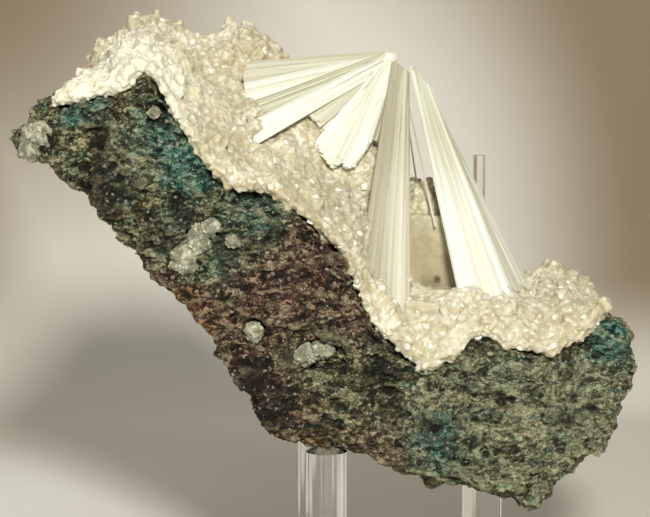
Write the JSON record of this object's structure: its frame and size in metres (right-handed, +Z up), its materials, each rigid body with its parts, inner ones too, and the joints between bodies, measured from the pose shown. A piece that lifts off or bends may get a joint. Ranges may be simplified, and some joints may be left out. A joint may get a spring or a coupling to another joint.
{
  "type": "mineral specimen",
  "caption": "Broken piece of dark basalt with a crystal-lined hollow that holds a fan of long white thomsonite blades meeting at a tip, leaning on a clear peg stand.",
  "frame": {"origin": "middle of the stand base's underside", "axes": "+Z up; +X towards the low right end of the rock as the picture shows it; +Y away from the viewer, so the broken face looks along -Y"},
  "size_m": [0.1408, 0.0737, 0.1401],
  "materials": {
    "basalt": "rough broken rock",
    "druse": "small glassy cream crystals",
    "silky_white": "silky white, slightly clear",
    "white_zeolite": "dull greyish white",
    "clear_acrylic": "polished and clear"
  },
  "bodies": {
    "root": {"basalt_matrix": "basalt", "crystal_lining": "druse", "thomsonite_spray": "silky_white", "clear_prism": "silky_white", "inclusion_curved": "white_zeolite", "inclusion_bead": "white_zeolite", "inclusion_left_tip": "white_zeolite", "inclusion_lower": "white_zeolite", "inclusion_fleck": "white_zeolite", "inclusion_shoulder": "white_zeolite", "peg_left_front": "clear_acrylic", "peg_left_back": "clear_acrylic", "peg_right": "clear_acrylic", "stand_base": "clear_acrylic"}
  },
  "joints": []
}
